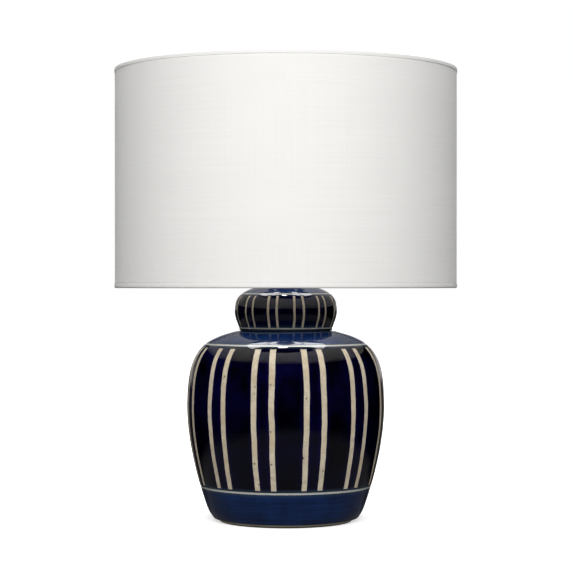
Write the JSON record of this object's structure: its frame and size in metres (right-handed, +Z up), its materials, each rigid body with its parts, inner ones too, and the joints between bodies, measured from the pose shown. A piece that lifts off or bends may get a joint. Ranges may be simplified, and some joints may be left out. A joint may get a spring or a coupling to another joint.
{
  "type": "table lamp",
  "caption": "Table lamp: a lidded glazed jar with paired vertical stripes, a harp, a turn-knob socket, a bulb and a cylindrical linen drum shade with a ball finial.",
  "frame": {"origin": "centre of the foot, on the surface that the lamp stands on", "axes": "+Z up the lamp's axis; -Y is the front, where the switch knob points; +Y is the back, where the cord hole is; the harp's loop lies in the XZ plane"},
  "size_m": [0.4338, 0.4338, 0.586],
  "materials": {
    "glaze": "gloss",
    "linen": "plain weave",
    "styrene": "matte",
    "brass": "antique satin",
    "brass_bright": "bright",
    "steel": "zinc plated",
    "white_steel": "satin white",
    "felt": "felt",
    "rubber": "matte",
    "phenolic": "satin",
    "paper": "matte",
    "opal_glass": "opal",
    "clear_glass": "clear"
  },
  "bodies": {
    "base": {"jar_body": "glaze", "jar_lid": "glaze", "foot_felt": "felt", "cord_bushing": "rubber", "lamp_pipe": "steel", "base_plate": "steel", "base_lock_washer": "steel", "base_nut": "steel", "vase_cap": "brass", "neck_spacer": "brass", "harp_saddle": "brass", "harp_wire": "brass", "harp_stud": "brass", "socket_cap": "brass", "socket_set_screw": "steel", "socket_shell": "brass", "socket_liner": "paper", "socket_core": "phenolic", "terminal_screw_live": "brass_bright", "terminal_screw_neutral": "steel", "screw_shell": "brass_bright", "centre_contact": "brass_bright"},
    "shade": {"shade_linen": "linen", "shade_liner": "styrene", "shade_ring_top": "white_steel", "shade_ring_bottom": "white_steel", "shade_hem_top": "linen", "shade_hem_bottom": "linen", "spider_washer": "white_steel", "spider_arm_1": "white_steel", "spider_arm_2": "white_steel", "spider_arm_3": "white_steel"},
    "finial_screw": {"finial_base": "brass"},
    "finial": {"finial_ball": "brass"},
    "bulb_contact": {"bulb_tip": "steel", "bulb_insulator": "phenolic"},
    "bulb": {"bulb_cap": "steel", "bulb_glass": "opal_glass", "bulb_stem": "clear_glass", "bulb_filament": "steel"},
    "switch": {"switch_shaft": "brass", "switch_knob": "phenolic"},
    "sleeve_left": {"harp_sleeve_left": "brass"},
    "sleeve_right": {"harp_sleeve_right": "brass"}
  },
  "joints": [
    {"name": "shade_swivel", "type": "hinge", "parent": "base", "child": "shade", "pos_m": [0, 0, 0.5553], "axis": [0, 0, 1], "continuous": true},
    {"name": "finial_lift", "type": "slide", "parent": "base", "child": "finial_screw", "axis": [0, 0, 1], "range_m": [0, 0.0105]},
    {"name": "finial_turn", "type": "hinge", "parent": "finial_screw", "child": "finial", "pos_m": [0, 0, 0.5624], "axis": [0, 0, 1], "range_deg": [0, 3960]},
    {"name": "bulb_lift", "type": "slide", "parent": "base", "child": "bulb_contact", "axis": [0, 0, 1], "range_m": [0, 0.0182]},
    {"name": "bulb_turn", "type": "hinge", "parent": "bulb_contact", "child": "bulb", "pos_m": [0, 0, 0.3637], "axis": [0, 0, 1], "range_deg": [0, 1800]},
    {"name": "switch_turn", "type": "hinge", "parent": "base", "child": "switch", "pos_m": [0, -0.031, 0.345], "axis": [0, -1, 0], "continuous": true},
    {"name": "sleeve_left_lift", "type": "slide", "parent": "base", "child": "sleeve_left", "axis": [0, 0, 1], "range_m": [0, 0.0125]},
    {"name": "sleeve_right_lift", "type": "slide", "parent": "base", "child": "sleeve_right", "axis": [0, 0, 1], "range_m": [0, 0.0125]}
  ],
  "couplings": [
    {"joint": "finial_lift", "follows": "finial_turn", "m_per_rad": 0.00014972},
    {"joint": "bulb_lift", "follows": "bulb_turn", "m_per_rad": 0.0005775}
  ]
}
